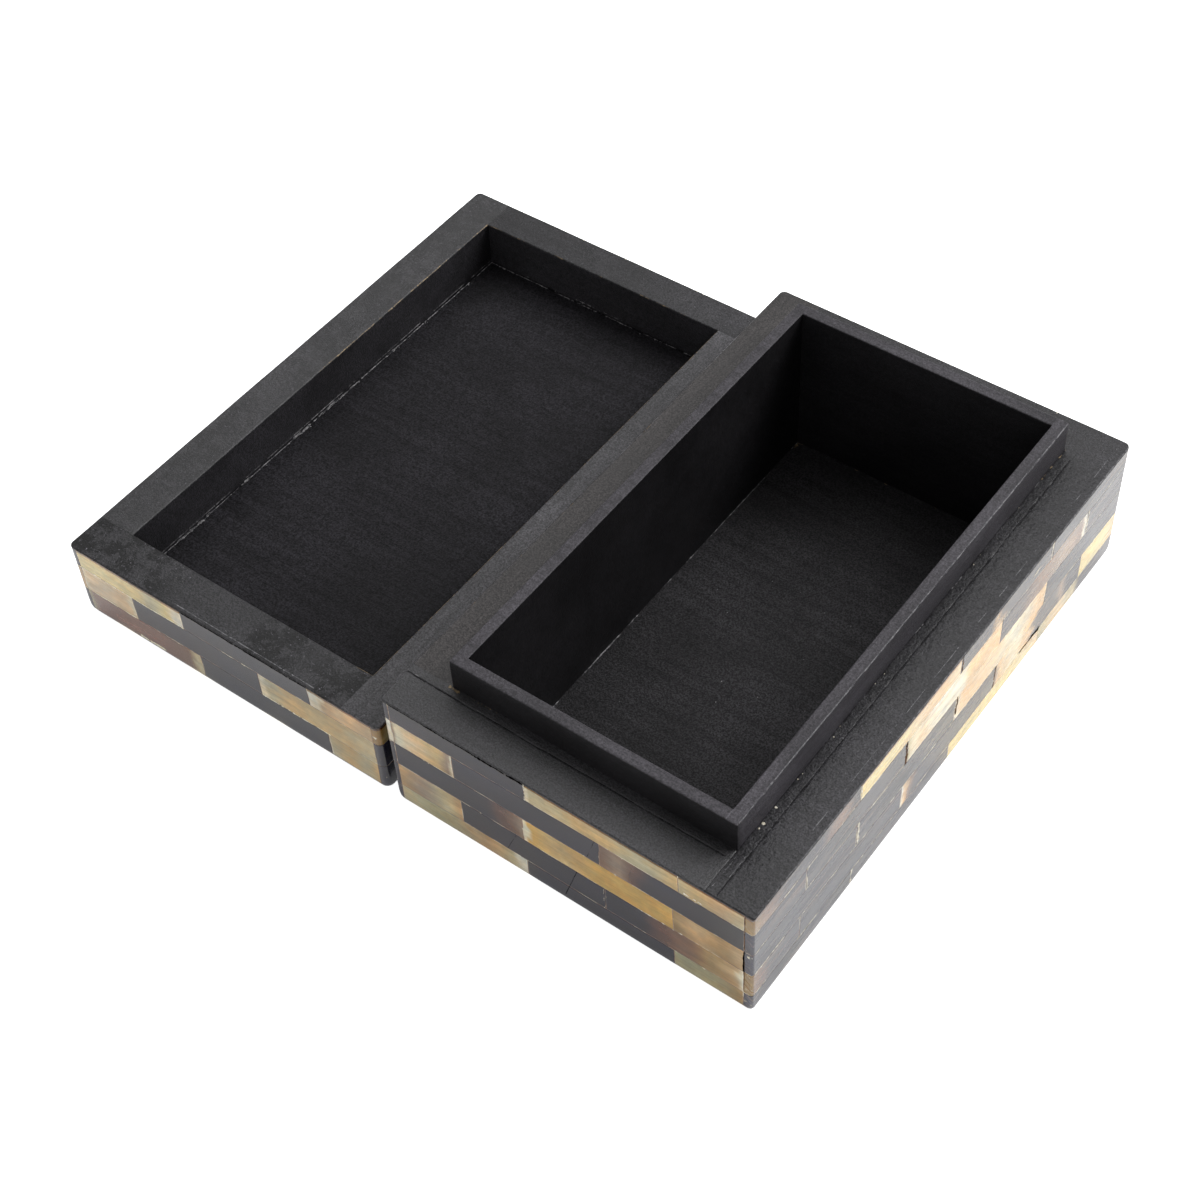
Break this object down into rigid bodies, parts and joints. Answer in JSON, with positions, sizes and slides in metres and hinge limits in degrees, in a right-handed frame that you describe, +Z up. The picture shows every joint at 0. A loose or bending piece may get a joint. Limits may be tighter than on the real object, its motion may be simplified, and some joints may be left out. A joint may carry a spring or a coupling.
{
  "type": "trinket box",
  "caption": "Rectangular two-part trinket box, horn mosaic outside and black painted wood inside, with a lift-off lid that closes round a raised lip; laid open.",
  "frame": {"origin": "Centre of the base's underside, on the table that both halves rest on.", "axes": "+Z up; X across the width, with the lid lying on the -X side; +Y along the length, away from the viewer of the picture."},
  "size_m": [0.2531, 0.203, 0.0603],
  "materials": {
    "painted_wood": "softwood boards under brushed matte black paint, worn along the arrises",
    "black_horn": "polished black horn with faint grey streaks and hairline cracks",
    "amber_horn": "polished translucent amber horn, streaked, with cream ends",
    "brown_horn": "polished brown horn that fades to black",
    "seam_resin": "cream resin in the tile seams, ground flush"
  },
  "bodies": {
    "base": {"base_back_ledge": "painted_wood", "base_back_liner": "painted_wood", "base_back_tiles_amber": "amber_horn", "base_back_tiles_black": "black_horn", "base_back_tiles_brown": "brown_horn", "base_back_wall": "painted_wood", "base_floor": "painted_wood", "base_front_ledge": "painted_wood", "base_front_liner": "painted_wood", "base_front_tiles_amber": "amber_horn", "base_front_tiles_black": "black_horn", "base_front_tiles_brown": "brown_horn", "base_front_wall": "painted_wood", "base_left_ledge": "painted_wood", "base_left_liner": "painted_wood", "base_left_tiles_amber": "amber_horn", "base_left_tiles_black": "black_horn", "base_left_tiles_brown": "brown_horn", "base_left_wall": "painted_wood", "base_right_ledge": "painted_wood", "base_right_liner": "painted_wood", "base_right_tiles_amber": "amber_horn", "base_right_tiles_black": "black_horn", "base_right_tiles_brown": "brown_horn", "base_right_wall": "painted_wood", "base_seam_resin": "seam_resin"},
    "lid": {"lid_back_tiles_amber": "amber_horn", "lid_back_tiles_black": "black_horn", "lid_back_tiles_brown": "brown_horn", "lid_back_wall": "painted_wood", "lid_front_tiles_amber": "amber_horn", "lid_front_tiles_black": "black_horn", "lid_front_tiles_brown": "brown_horn", "lid_front_wall": "painted_wood", "lid_inner_panel": "painted_wood", "lid_left_tiles_amber": "amber_horn", "lid_left_tiles_black": "black_horn", "lid_left_tiles_brown": "brown_horn", "lid_left_wall": "painted_wood", "lid_right_tiles_amber": "amber_horn", "lid_right_tiles_black": "black_horn", "lid_right_tiles_brown": "brown_horn", "lid_right_wall": "painted_wood", "lid_seam_resin": "seam_resin", "lid_top_board": "painted_wood", "lid_top_tiles_amber": "amber_horn", "lid_top_tiles_black": "black_horn", "lid_top_tiles_brown": "brown_horn"}
  },
  "joints": [
    {"name": "lid_turn", "type": "hinge", "parent": "base", "child": "lid", "pos_m": [-0.06405, 0, 0.04043], "axis": [0, 1, 0], "range_deg": [0, 180]}
  ]
}
